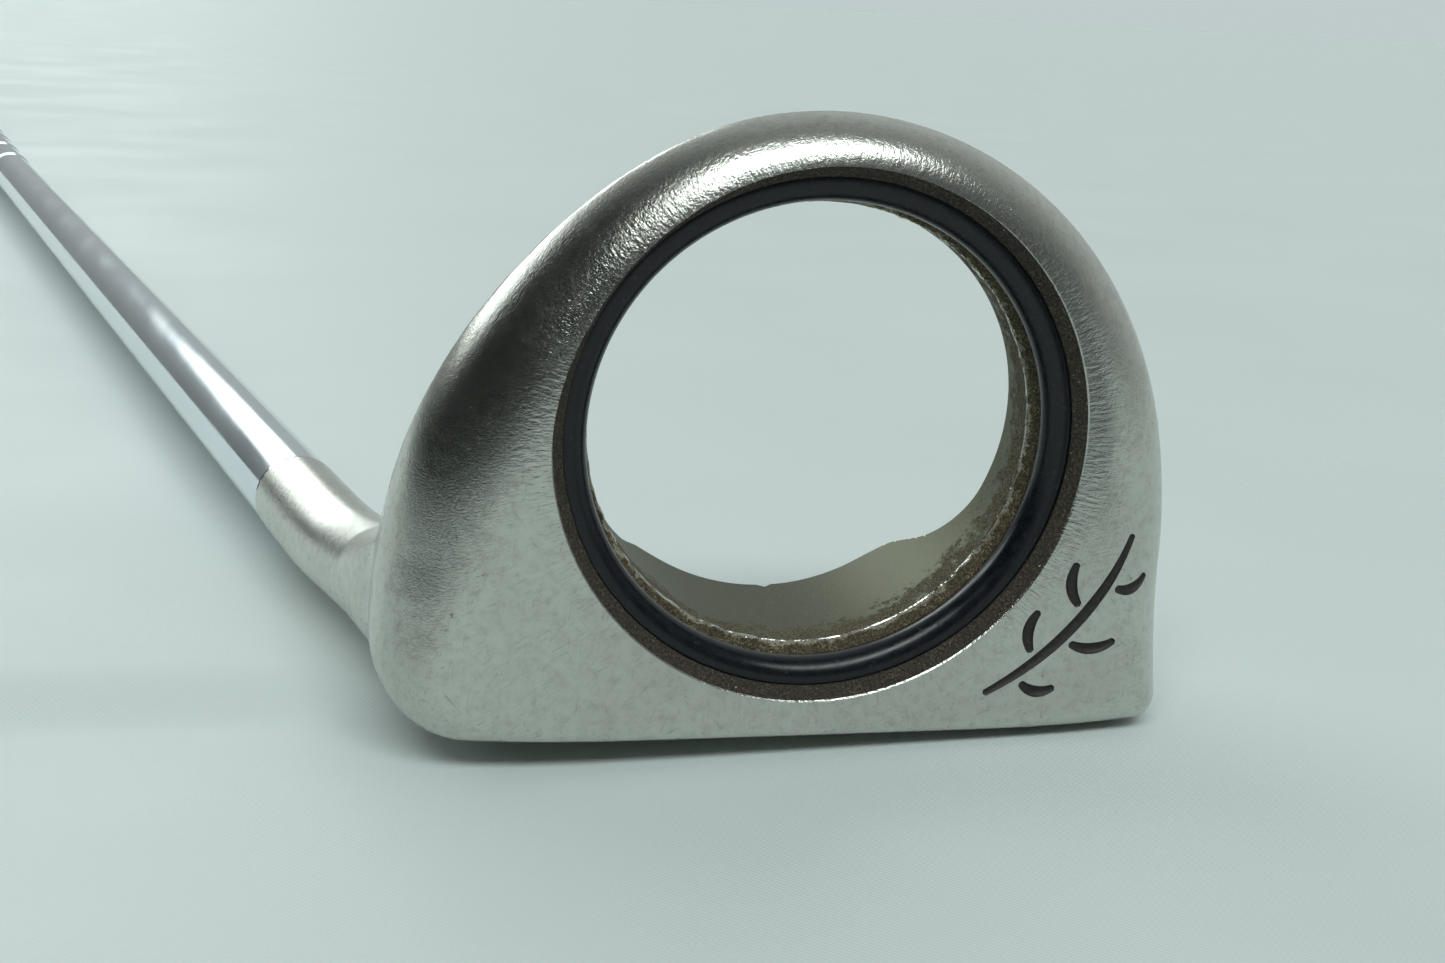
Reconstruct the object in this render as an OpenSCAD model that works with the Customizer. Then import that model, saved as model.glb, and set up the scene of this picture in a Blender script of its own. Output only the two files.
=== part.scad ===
// Mallet putter with a through bore for a ball, right-handed, lying on its striking face.
// Origin: centre of the striking face. +X from heel to toe, +Y from sole to shaft, +Z from face to rear.
// The club's parts are drawn in golf coordinates and turned into that frame by lying_on_face():
// x from heel to toe, y from rear to face, z up from the sole, origin on the ball bore's axis.

/* [Head] */
// Half of the head's width, heel to bore axis
heel_half_w = 39; // [37:0.1:42]
// Half of the head's width, bore axis to toe
toe_half_w = 35.4; // [34:0.1:40]
// Bore axis to the striking face
face_y = 27.8; // [27:0.1:30]
// Bore axis to the rear edge
rear_y = 28; // [27.6:0.1:30]
// Height of the face block above the sole
block_h = 21.8; // [18:0.1:24]
// Height of the deck above the sole at the head's rear edge
deck_rear_h = 6.6; // [6.2:0.1:8]
// Slope of the deck, degrees
deck_slope = 8.9; // [7:0.1:12]
// Distance from the bore axis to where the deck turns up into the face block
cove_y = 9.9; // [8:0.1:11]

/* [Ball bore] */
// Radius of the bore that a ball passes through
bore_r = 20.3; // [19.8:0.1:20.6]
// Radius of the bore's rim at the sole
rim_r = 24; // [23.4:0.1:24.4]
// Radius of the bore's wall just inside the rim
wall_r = 22.9; // [22.7:0.1:23.2]
// Radius of the floor of the ring's groove
groove_r = 24.3; // [24.2:0.1:24.4]
// Thickness of the rubber ring
ring_section = 3.53; // [3.4:0.01:3.6]

/* [Shaft] */
// Lie angle between the sole and the shaft, degrees
lie = 74.1; // [72:0.1:76]
// Total length of the club along the shaft
club_length = 863.6; // [810:1:915]
// Diameter of the shaft at its tip
tip_d = 9.4; // [9:0.05:9.6]
// Diameter of the shaft at its butt
butt_d = 14.73; // [14:0.1:15.2]
// Number of steps in the shaft
step_count = 10; // [8:1:12]
// Height of the hosel's shoulder above the sole
hosel_h = 53; // [48:0.5:60]

/* [Grip] */
// Length of the grip
grip_len = 265; // [240:1:280]
// Diameter of the grip's back at the butt
grip_butt_d = 26; // [25:0.1:27]
// Diameter of the grip's back at its lower end
grip_mouth_d = 18.6; // [18:0.1:20]

/* [Hidden] */
$fn = 96;
slip = 0.02;

// The striking face's centre in golf coordinates
face_mid_z = 11;

// Rounding of the sole's edge where it meets each side
heel_roll = 11.5;
toe_roll = 8.5;
rear_roll = 5.3;
face_roll = 0.6;
heel_corner_roll = 8;
toe_corner_roll = 7;
heel_corner_r = 8.5;
toe_corner_r = 2.8;
heel_flank_in = 0.7;
heel_widest_y = 14.9;
toe_widest_y = 11.7;
heel_power = 1.74;
cove_r = 4;
block_lean = 65;
outline_steps = 14;
top_roll = 2;

// Depths of the bore's features from the sole
rim_z = 1.2;
groove_low_z = 1.4;
groove_high_z = 4.9;
lip_z = 5.9;
lip_slope_r = 21.3;
bore_full_z = 7.7;
bore_draft = 0.2;
ring_z = 3.1;
ring_r = 22.47;

// The shaft's axis: where it stands at height axis_z, and its slant towards the butt
axis_x = -43.05;
axis_y = 20.3;
axis_z = 40;
axis_toe_in = -0.4;

// Stations along the shaft's axis, from the point at height axis_z
mouth_s = (hosel_h - axis_z) / sin(lie);
grip_cap_t = 3;
end_s = club_length - axis_z / sin(lie);
butt_s = end_s - grip_cap_t;
spigot_len = 26;
bond_t = 0.1;
shaft_wall = 0.6;
spigot_r = tip_d / 2 - shaft_wall - bond_t;
hosel_r = 4.8;

// Stations of the neck from the shaft down to the head: place on the axis, bend and radius
neck = [[2, 0, 4.8], [-7, 0.35, 4.8], [-15, 0.9, 5], [-24, 2.6, 5.5]];
neck_bend = [0.767, -0.642, 0];
sight_notch_w = 1.5;
sight_notch_d = 0.7;

// The steps start above a plain tip section
first_step_s = mouth_s + 310;
step_pitch = 25;
step_r = (butt_d - tip_d) / 2 / step_count;
chamfer = 0.25;

// The grip sits over its tape and closes over the shaft's butt
tape_t = 0.25;
tape_start = 10;
grip_bore_r = butt_d / 2 + tape_t + slip;
grip_s = end_s - grip_len;
grip_lip = 6;
grip_flat_share = 0.88;
vent_r = 1.5;

// How far an edge with a round of radius r has drawn in at height z above its lower side
function draw_in(r, z) = z >= r ? 0 : r - sqrt(r * r - (r - z) * (r - z));

// Plan of the head's outside at height z, with its whole edge drawn in by inset
function outline(z, inset) = let (
    heel = heel_half_w - heel_flank_in - draw_in(heel_roll, z) - inset,
    toe = toe_half_w - draw_in(toe_roll, z) - inset,
    rear = rear_y - draw_in(rear_roll, z) - inset,
    face = face_y - draw_in(face_roll, z) - inset / 4
) concat(
    [for (i = [0 : outline_steps])
        let (a = 90 * i / outline_steps)
            [-heel * cos(a), heel_widest_y - (rear + heel_widest_y) * pow(sin(a), 2 / heel_power)]],
    [for (i = [1 : outline_steps])
        let (a = 90 * i / outline_steps)
            [toe * sin(a), toe_widest_y - (rear + toe_widest_y) * cos(a)]],
    toe_corner(toe_half_w - draw_in(toe_corner_roll, z) - inset, face),
    heel_corner(z, inset)
);

// The plan's round corner between toe and face
function toe_corner(x, y) = [
    for (a = [0 : 15 : 90])
        [x - toe_corner_r * (1 - cos(a)), y - toe_corner_r * (1 - sin(a))]
];

// The plan's round corner between face and heel, whose lower edge softens towards the heel
function heel_corner(z, inset) = [
    for (i = [0 : 6])
        let (
            a = 90 + 15 * i,
            roll = face_roll + (heel_corner_roll - face_roll) * i / 6,
            r = heel_corner_r - draw_in(roll, z) - inset * (1 + 3 * i / 6) / 4
        )
            [r * cos(a) - (heel_half_w - heel_corner_r), r * sin(a) + face_y - heel_corner_r]
];

// Turns golf coordinates into the frame's
module lying_on_face() {
    translate([0, -face_mid_z, face_y]) rotate([-90, 0, 0]) children();
}

// Places a shape drawn along +Z on the shaft's axis, z = 0 at height axis_z above the sole
module on_shaft_axis() {
    translate([axis_x, axis_y, axis_z])
        rotate([-axis_toe_in, lie - 90, 0])
            children();
}

// The head's outside before the deck is cut, as a stack of closed rings
module head_blank() {
    levels = concat(
        [for (z = [0, 0.15, 0.5, 1, 1.8, 2.8, 4, 5.3, 6.8, 8.5, 11.5]) [z, 0]],
        [for (a = [0 : 30 : 90]) [block_h - top_roll * (1 - sin(a)), top_roll * (1 - cos(a))]]
    );
    rings = [for (l = levels) [for (p = outline(l[0], l[1])) [p[0], p[1], l[0]]]];
    n = len(rings[0]);
    last = len(levels) - 1;
    polyhedron(
        points = [for (ring = rings) each ring],
        faces = concat(
            [[for (i = [0 : n - 1]) i]],
            [[for (i = [n - 1 : -1 : 0]) last * n + i]],
            [for (k = [0 : last - 1], i = [0 : n - 1])
                let (low = k * n, high = low + n, j = (i + 1) % n)
                    each [[low + i, high + i, high + j], [low + i, high + j, low + j]]]
        )
    );
}

// Everything above the sloping deck and behind the face block's leaning rear wall
module above_deck() {
    far = 60;
    foot = [cove_y, deck_rear_h + (cove_y + rear_y) * tan(deck_slope)];
    centre = foot + cove_r * [-sin(deck_slope), cos(deck_slope)];
    arc = [for (i = [0 : 6])
        let (a = deck_slope + (block_lean - deck_slope) * i / 6)
            centre + cove_r * [sin(a), -cos(a)]];
    wall_top = arc[6] + [(far - arc[6][1]) / tan(block_lean), far - arc[6][1]];
    rotate([90, 0, 90])
        translate([0, 0, -far])
            linear_extrude(height = 2 * far)
                polygon(concat(
                    [[-far, foot[1] - (far + foot[0]) * tan(deck_slope)]],
                    arc,
                    [wall_top, [-far, far]]
                ));
}

// The bore with its rim, groove and lip, seen from the sole
module bore_cut() {
    rotate_extrude()
        polygon([
            [0, -1], [rim_r + 1, -1], [wall_r, rim_z], [wall_r, groove_low_z],
            [groove_r, groove_low_z], [groove_r, groove_high_z], [lip_slope_r, groove_high_z],
            [bore_r, lip_z], [bore_r, bore_full_z], [bore_r + bore_draft, block_h + 1],
            [0, block_h + 1]
        ]);
}

// The hosel's upper end, with the spigot that the shaft fits over
module hosel() {
    on_shaft_axis()
        rotate_extrude()
            polygon([
                [0, 0], [hosel_r, 0], [hosel_r, mouth_s - 0.3], [hosel_r - 0.3, mouth_s],
                [spigot_r, mouth_s], [spigot_r, mouth_s + spigot_len - 1],
                [spigot_r - 1, mouth_s + spigot_len], [0, mouth_s + spigot_len]
            ]);
}

// The neck, which bends from the shaft's axis into the head and widens on its way
module neck() {
    for (i = [1 : len(neck) - 1])
        hull() {
            neck_station(neck[i - 1]);
            neck_station(neck[i]);
        }
}

// One round of the neck, at its place on the shaft's axis
module neck_station(station) {
    translate(station[1] * neck_bend)
        on_shaft_axis()
            translate([0, 0, station[0]])
                sphere(r = station[2], $fn = 32);
}

// The sighting mark across the top of the face block
module sight_notch() {
    translate([0.4, face_y + 1, block_h])
        rotate([90, 0, 0])
            linear_extrude(height = 16)
                polygon([
                    [-sight_notch_w, sight_notch_d], [0, -sight_notch_d], [sight_notch_w, sight_notch_d]
                ]);
}

module putter_head() {
    color("silver")
        lying_on_face() {
            difference() {
                union() {
                    difference() {
                        head_blank();
                        above_deck();
                        sight_notch();
                    }
                    neck();
                }
                bore_cut();
            }
            hosel();
        }
}

// The rubber ring in the bore's groove, which grips a ball pressed on it
module ball_grip_ring() {
    color("#16181b")
        lying_on_face()
            translate([0, 0, ring_z])
                rotate_extrude()
                    translate([ring_r, 0])
                        circle(d = ring_section, $fn = 48);
}

// Radius of the shaft above step number i
function shaft_r(i) = tip_d / 2 + i * step_r;

// The stepped tube, open at its butt under the grip's cap
module shaft() {
    outside = concat(
        [[tip_d / 2 - shaft_wall, mouth_s + slip], [tip_d / 2, mouth_s + slip]],
        [for (i = [1 : step_count])
            let (s = first_step_s + (i - 1) * step_pitch)
                each [[shaft_r(i - 1), s], [shaft_r(i), s + chamfer]]],
        [[butt_d / 2, butt_s], [butt_d / 2 - shaft_wall, butt_s]]
    );
    inside = [for (i = [step_count : -1 : 1])
        let (s = first_step_s + (i - 1) * step_pitch)
            each [[shaft_r(i) - shaft_wall, s + chamfer], [shaft_r(i - 1) - shaft_wall, s]]];
    color("#c9d2dc")
        lying_on_face()
            on_shaft_axis()
                rotate_extrude()
                    polygon(concat(outside, inside));
}

// The film of adhesive between the hosel's spigot and the shaft
module epoxy_bond() {
    color("#4a4d42")
        lying_on_face()
            on_shaft_axis()
                translate([0, 0, mouth_s + slip])
                    difference() {
                        cylinder(r = tip_d / 2 - shaft_wall - slip, h = spigot_len - 2);
                        translate([0, 0, -1])
                            cylinder(r = spigot_r + slip, h = spigot_len);
                    }
}

// One layer of tape wound round the butt under the grip
module grip_tape() {
    color("#d8c48c")
        lying_on_face()
            on_shaft_axis()
                translate([0, 0, grip_s + tape_start])
                    difference() {
                        cylinder(r = butt_d / 2 + tape_t, h = butt_s - grip_s - tape_start - 1);
                        translate([0, 0, -1])
                            cylinder(r = butt_d / 2 + slip, h = grip_len);
                    }
}

// Outer radius of the grip at share t of its length, with the swell behind the palm
function grip_r(t) = (grip_mouth_d + (grip_butt_d - grip_mouth_d) * pow(t, 1.4)) / 2
    + 0.9 * sin(180 * t) * t;

module putter_grip() {
    side = [for (i = [0 : 12]) let (t = i / 12) [grip_r(t), grip_s + (grip_len - 1.5) * t]];
    color("#26282b")
        lying_on_face()
            on_shaft_axis()
                difference() {
                    rotate_extrude()
                        polygon(concat(
                            [[0, grip_s]], side,
                            [[grip_butt_d / 2 - 1.5, end_s], [0, end_s]]
                        ));
                    // The flat that the thumbs rest on
                    translate([grip_flat_share * grip_mouth_d / 2, -grip_butt_d, grip_s - 1])
                        rotate([0, atan((grip_butt_d - grip_mouth_d) / 2 * grip_flat_share / grip_len), 0])
                            cube([grip_butt_d, 2 * grip_butt_d, grip_len + 4]);
                    translate([0, 0, grip_s + grip_lip])
                        cylinder(r = grip_bore_r, h = butt_s - grip_s - grip_lip + slip);
                    translate([0, 0, grip_s - 1])
                        cylinder(r = butt_d / 2 + slip, h = grip_lip + 2);
                    cylinder(r = vent_r, h = end_s + 1);
                }
}

putter_head();
ball_grip_ring();
shaft();
epoxy_bond();
grip_tape();
putter_grip();
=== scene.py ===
"""Looks of the mallet putter around its CAD frame: worn steel head, rubber ring, chromed shaft and grip.

Shapes are worked out in golf coordinates, in millimetres: x from heel to toe, y from rear to striking face
and z up from the sole, with the origin on the ball bore's axis at the sole. row() turns them into the
frame's metres.
"""
import math

import bmesh
import bpy
import numpy as np
from mathutils import Euler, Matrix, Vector


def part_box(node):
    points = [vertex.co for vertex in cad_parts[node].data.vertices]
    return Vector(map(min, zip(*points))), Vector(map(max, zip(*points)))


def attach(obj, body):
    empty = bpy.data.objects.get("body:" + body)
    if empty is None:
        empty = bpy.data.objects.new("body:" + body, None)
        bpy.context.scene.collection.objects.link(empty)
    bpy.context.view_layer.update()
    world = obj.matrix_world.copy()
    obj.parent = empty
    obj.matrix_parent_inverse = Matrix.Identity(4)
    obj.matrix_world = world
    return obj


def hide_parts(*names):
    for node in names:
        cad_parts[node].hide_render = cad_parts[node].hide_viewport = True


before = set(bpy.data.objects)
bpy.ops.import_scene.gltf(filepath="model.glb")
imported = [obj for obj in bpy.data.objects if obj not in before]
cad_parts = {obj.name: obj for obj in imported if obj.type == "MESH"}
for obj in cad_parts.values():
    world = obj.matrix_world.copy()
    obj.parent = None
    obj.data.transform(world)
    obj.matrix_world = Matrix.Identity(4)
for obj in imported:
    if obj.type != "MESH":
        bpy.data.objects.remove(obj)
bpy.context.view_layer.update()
HEAD_LOW, HEAD_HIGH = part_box("putter_head")

MM = 0.001
SOLE_AT = HEAD_LOW.y
TOE_HALF = HEAD_HIGH.x / MM
FACE_Y = 27.8
REAR_Y = HEAD_HIGH.z / MM - FACE_Y
BLOCK_H = 21.8

# Outline of the head seen from the sole
HEEL_HALF = 39.0
HEEL_FLANK_IN = 0.7
HEEL_WIDEST_Y, HEEL_POWER = 14.9, 1.74
TOE_WIDEST_Y, TOE_POWER = 11.7, 2.0
HEEL_CORNER_R, TOE_CORNER_R = 8.5, 2.8

# Round of the sole's edge, as (bearing round the head in degrees from the toe, radius)
ROLL_CENTRE_Y = 4
SOLE_ROLL = (
    (0, 8.5), (20, 8), (30, 5.5), (38, 2.2), (50, 1.5), (90, 1.5), (130, 1.6), (140, 2.2), (148, 4.5),
    (156, 8), (170, 10.5), (190, 11.5), (215, 11.5), (235, 9.5), (255, 6.5), (270, 5.4), (290, 5.2),
    (315, 5.8), (340, 7.2), (360, 8.5),
)

# Deck behind the face block
DECK_REAR_H, DECK_SLOPE = 6.6, math.radians(8.9)
COVE_R, BLOCK_LEAN, BLOCK_TOP_Y = 4.0, math.radians(65), 16.2
TOP_ROUND, BLOCK_ROUND = 1.3, 1.6

# Shaft axis: a point on it, and its direction towards the butt
LIE, TOE_IN = math.radians(74.1), math.radians(-0.4)
AXIS_AT = np.array([-43.05, 20.3, 40.0])
AXIS_ALONG = np.array([
    -math.cos(LIE) * math.cos(TOE_IN), math.sin(TOE_IN), math.sin(LIE) * math.cos(TOE_IN)])
AXIS_TOEWARD = np.array([math.sin(LIE), 0, math.cos(LIE)])
AXIS_ASIDE = np.cross(AXIS_ALONG, AXIS_TOEWARD)
CLUB_LENGTH = 863.6
END_S = CLUB_LENGTH - AXIS_AT[2] / math.sin(LIE)
MOUTH_S = (53 - AXIS_AT[2]) / math.sin(LIE)

# Hosel and neck
HOSEL_R, NECK_R_GAIN = 4.8, 0.7
NECK_END_S, NECK_FILLET = -27, 3.5
MOUTH_ROUND, NECK_END_ROUND = 0.3, 4
NECK_BEND, NECK_BEND_FROM_S = 0.00385, 2
NECK_BEND_ALONG = np.array([0.767, -0.642, 0])

# Ball bore, as (radius, height above the sole)
BORE_R, BORE_TOP_R = 20.3, 20.5
RIM_R, RIM_Z, WALL_R = 24.0, 1.2, 22.9
GROOVE_R, GROOVE_LOW_Z, GROOVE_HIGH_Z = 24.3, 1.4, 4.9
LIP_SLOPE_R, LIP_Z, BORE_FULL_Z = 21.3, 5.9, 7.7
GROOVE_COVER = 0.3
RING_R, RING_Z, RING_WIRE_R = 22.47, 3.1, 1.765

# Camera: place in metres, turn in degrees, lens in millimetres
CAMERA_AT = (-0.0392, -0.1482, 0.0644)
CAMERA_TURN = (74.15, -3.11, -11.45)
CAMERA_LENS = 42.35


def row(points):
    """Golf coordinates in millimetres as the frame's coordinates in metres."""
    x, y, z = np.moveaxis(np.asarray(points, float), -1, 0)
    return np.stack([x * MM, z * MM + SOLE_AT, (FACE_Y - y) * MM], -1)


def turn_to_row(directions):
    """Directions in golf coordinates as directions in the frame."""
    x, y, z = np.moveaxis(np.asarray(directions, float), -1, 0)
    return np.stack([x, z, -y], -1)


def golf(points):
    """The frame's coordinates in metres as golf coordinates in millimetres."""
    x, y, z = np.moveaxis(np.asarray(points, float), -1, 0)
    return np.stack([x / MM, FACE_Y - z / MM, (y - SOLE_AT) / MM], -1)


def on_shaft(points):
    """Points given as (towards the toe, aside, along the shaft from height 40 mm) in golf coordinates."""
    points = np.asarray(points, float)
    return (AXIS_AT + points[..., :1] * AXIS_TOEWARD + points[..., 1:2] * AXIS_ASIDE
            + points[..., 2:] * AXIS_ALONG)


# ---- The head as a distance field ----

def ease(low, high, x):
    """Smooth step from 0 at low to 1 at high."""
    t = np.clip((x - low) / (high - low), 0, 1)
    return t * t * (3 - 2 * t)


def round_max(a, b, r):
    """Intersection of two solids, its edge rounded to radius r."""
    return np.minimum(-r, np.maximum(a, b)) + np.hypot(np.maximum(a + r, 0), np.maximum(b + r, 0))


def round_min(a, b, r):
    """Union of two solids, its inner corner filled to radius r."""
    return np.maximum(r, np.minimum(a, b)) - np.hypot(np.maximum(r - a, 0), np.maximum(r - b, 0))


def outline_quarter(x, y, half, widest, power):
    """Distance from one rear quarter of the head's outline, negative inside."""
    depth = REAR_Y + widest
    across = np.abs(x) / half
    back = np.maximum(widest - y, 0) / depth
    size = np.sqrt(across * across + back ** power + 1e-9)
    slope = np.hypot(across / (half * size), 0.5 * power * back ** (power - 1) / (depth * size))
    return np.maximum((size - 1) / np.maximum(slope, 1e-3), -30)


def outline(x, y):
    """Distance from the head's outline as seen from the sole, negative inside."""
    heel_half = HEEL_HALF - HEEL_FLANK_IN * (1 - ease(10, 20, y))
    heel = outline_quarter(x, y, heel_half, HEEL_WIDEST_Y, HEEL_POWER)
    toe = outline_quarter(x, y, TOE_HALF, TOE_WIDEST_Y, TOE_POWER)
    side = heel + (toe - heel) * ease(-6, 6, x)
    corner_r = HEEL_CORNER_R + (TOE_CORNER_R - HEEL_CORNER_R) * ease(-10, 10, x)
    return round_max(side, y - FACE_Y, corner_r)


def roll_table():
    """The sole's edge radius at each whole degree of bearing, smoothed."""
    bearing, radius = zip(*SOLE_ROLL)
    table = np.interp(np.arange(361), bearing, radius)
    reach, spread = 12, 4.5
    weight = np.exp(-0.5 * (np.arange(-reach, reach + 1) / spread) ** 2)
    padded = np.concatenate([table[-reach - 1:-1], table, table[1:reach + 1]])
    return np.convolve(padded, weight / weight.sum(), "valid")


ROLL = roll_table()


def sole_roll(x, y):
    """Radius of the sole's rolled edge in the direction of a point, from a centre behind the face."""
    bearing = np.degrees(np.arctan2(y - ROLL_CENTRE_Y, x)) % 360
    return np.interp(bearing, np.arange(361), ROLL)


def top(y, z):
    """The sloping deck and the face block that leans up from it."""
    deck = (z - DECK_REAR_H - (y + REAR_Y) * math.tan(DECK_SLOPE)) * math.cos(DECK_SLOPE)
    wall = -(y - BLOCK_TOP_Y) * math.sin(BLOCK_LEAN) + (z - BLOCK_H) * math.cos(BLOCK_LEAN)
    return round_min(deck, round_max(wall, z - BLOCK_H, BLOCK_ROUND), COVE_R)


def neck(points):
    """The hosel, bending into the heel and widening on its way."""
    off = points - AXIS_AT
    s = off @ AXIS_ALONG
    bend = NECK_BEND * np.minimum(s - NECK_BEND_FROM_S, 0) ** 2
    off = off - s[..., None] * AXIS_ALONG - bend[..., None] * NECK_BEND_ALONG
    r = HOSEL_R + NECK_R_GAIN * (1 - ease(-24, -8, s))
    tube = np.linalg.norm(off, axis=-1) - r
    return round_max(round_max(tube, s - MOUTH_S, MOUTH_ROUND), NECK_END_S - s, NECK_END_ROUND)


def head_field(points):
    """Distance from the head's outer surface, negative inside, without the bore."""
    x, y, z = np.moveaxis(points, -1, 0)
    body = round_max(outline(x, y), -z, sole_roll(x, y))
    body = round_max(body, top(y, z), TOP_ROUND)
    return round_min(body, neck(points), NECK_FILLET)


def gradient(field, points, reach=0.01):
    steps = np.eye(3) * reach
    return np.stack([field(points + s) - field(points - s) for s in steps], -1) / (2 * reach)


def onto_surface(field, points, rounds=3):
    """Moves points along the field's slope until the field is 0."""
    for _ in range(rounds):
        slope = gradient(field, points)
        points = points - (field(points) / np.maximum((slope ** 2).sum(-1), 0.05))[:, None] * slope
    return points


def surface_net(field, low, high, step):
    """Vertices and quads of the surface where the field is 0, one vertex to a grid cell that it crosses."""
    axes = [np.arange(a, b + step, step) for a, b in zip(low, high)]
    strides = (len(axes[1]) * len(axes[2]), len(axes[2]), 1)
    grid = np.stack(np.meshgrid(*axes, indexing="ij"), -1).reshape(-1, 3)
    values = np.concatenate([field(part) for part in np.array_split(grid, 12)])
    inside = values < 0
    cells, crossings = [], []
    for axis, ahead in enumerate(strides):
        edge = np.flatnonzero(inside[:-ahead] != inside[ahead:])
        share = values[edge] / (values[edge] - values[edge + ahead])
        b, c = strides[(axis + 1) % 3], strides[(axis + 2) % 3]
        ring = np.stack([edge, edge - b, edge - b - c, edge - c], 1)
        entering = ~inside[edge]
        ring[entering] = ring[entering][:, ::-1]
        cells.append(ring)
        crossings.append(np.repeat(grid[edge] + share[:, None] * step * np.eye(3)[axis], 4, 0))
    ids, quads = np.unique(np.concatenate(cells), return_inverse=True)
    quads = quads.reshape(-1, 4)
    crossings = np.concatenate(crossings)
    count = np.bincount(quads.ravel())
    verts = np.stack([np.bincount(quads.ravel(), crossings[:, k]) / count for k in range(3)], -1)
    return verts, quads


def relaxed(field, verts, quads, rounds=3):
    """Evens out the mesh along the surface."""
    for _ in range(rounds):
        total = np.zeros_like(verts)
        count = np.zeros(len(verts))
        for a in range(4):
            ends, starts = quads[:, (a + 1) % 4], quads[:, a]
            for k in range(3):
                total[:, k] += np.bincount(starts, verts[ends, k], len(verts))
                total[:, k] += np.bincount(ends, verts[starts, k], len(verts))
            count += np.bincount(starts, minlength=len(verts)) + np.bincount(ends, minlength=len(verts))
        verts = onto_surface(field, 0.5 * verts + 0.5 * total / count[:, None], 2)
    return verts


# ---- Mesh pieces ----

def mesh_piece(name, verts, faces, smooth=True):
    mesh = bpy.data.meshes.new(name)
    mesh.from_pydata([tuple(v) for v in verts], [], [tuple(int(i) for i in f) for f in faces])
    mesh.update()
    mesh.polygons.foreach_set("use_smooth", [smooth] * len(mesh.polygons))
    piece = bpy.data.objects.new(name, mesh)
    bpy.context.scene.collection.objects.link(piece)
    return piece


def tube_faces(rings, segments, closed=False):
    """Quads between rings of vertices, and between the last ring and the first if closed."""
    i = np.arange(segments)
    j = (i + 1) % segments
    quads = []
    for k in range(rings if closed else rings - 1):
        a, b = k * segments, (k + 1) % rings * segments
        quads.append(np.stack([a + i, a + j, b + j, b + i], 1))
    return np.concatenate(quads)


def lathe(profile, segments):
    """Points of a profile of (radius, height) turned about the z axis, one ring after another."""
    profile = np.asarray(profile, float)
    angle = np.linspace(0, 2 * np.pi, segments, endpoint=False)
    circle = np.stack([np.cos(angle), np.sin(angle)], -1)
    flat = profile[:, None, :1] * circle
    height = np.broadcast_to(profile[:, None, 1:], flat.shape[:2] + (1,))
    return np.concatenate([flat, height], -1).reshape(-1, 3)


def finely(profile, spacing):
    """A profile with points added so that none are further apart than spacing."""
    out = [profile[0]]
    for a, b in zip(profile[:-1], profile[1:]):
        count = max(1, math.ceil(math.dist(a, b) / spacing))
        out += [tuple(np.add(a, np.subtract(b, a) * i / count)) for i in range(1, count + 1)]
    return out


def lattice_value(cell, seed):
    """A fixed pseudo-random number from -1 to 1 for each cell of a lattice."""
    mixed = cell[:, 0] * 374761393 + cell[:, 1] * 668265263 + cell[:, 2] * 2147483647 + seed * 1274126177
    mixed = mixed & 0xFFFFFFFF
    mixed = ((mixed ^ (mixed >> 13)) * 1274126177) & 0xFFFFFFFF
    return ((mixed ^ (mixed >> 16)) & 0xFFFF) / 32767.5 - 1


def lattice_noise(points, seed):
    """Smooth noise from -1 to 1, one value to a point, with features about one unit across."""
    cell = np.floor(points).astype(np.int64)
    t = points - cell
    t = t * t * (3 - 2 * t)
    total = 0
    for corner in np.ndindex(2, 2, 2):
        weight = np.prod(np.where(corner, t, 1 - t), 1)
        total = total + lattice_value(cell + corner, seed) * weight
    return total


def grit(points, size, seed):
    """Crumbly noise with three sizes of crumb."""
    return sum(lattice_noise(points / (size * f), seed + i) * f for i, f in enumerate((1, 0.5, 0.25))) / 1.75


# Segments round the bore, and how deep dirt lies on its ledge, its lip's crest and its rim
BORE_SEGMENTS = 720
LEDGE_DIRT, CREST_DIRT, RIM_DIRT = 0.32, 0.14, 0.1
LEDGE_SAG = 0.35


def bore_profile():
    """The bore's section as (radius, height), from outside the rim up through the face block."""
    rim = [(RIM_R + 1.05, -1.15), (RIM_R + 0.05, -0.05), (WALL_R, RIM_Z), (WALL_R, GROOVE_LOW_Z)]
    groove = [(GROOVE_R, GROOVE_LOW_Z), (GROOVE_R, GROOVE_HIGH_Z), (LIP_SLOPE_R, GROOVE_HIGH_Z),
              (BORE_R, LIP_Z), (BORE_R, LIP_Z + 1.6)]
    wall = [(BORE_R, BORE_FULL_Z), (BORE_TOP_R, BLOCK_H + 2)]
    return finely(rim, 0.25) + finely(groove, 0.13) + finely(wall, 1.0)


def keep_cover(verts, outward):
    """Draws the groove's wall in where it would come too near the head's rolled edge."""
    radius, height = np.hypot(verts[:, 0], verts[:, 1]), verts[:, 2]
    in_groove = (height > GROOVE_LOW_Z - 0.01) & (height < GROOVE_HIGH_Z)
    for _ in range(8):
        thin = np.where(in_groove & (radius > WALL_R), head_field(verts) + GROOVE_COVER, 0)
        radius = np.where(thin > 0, np.maximum(radius - thin, WALL_R), radius)
        verts[:, :2] = outward * radius[:, None]


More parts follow.
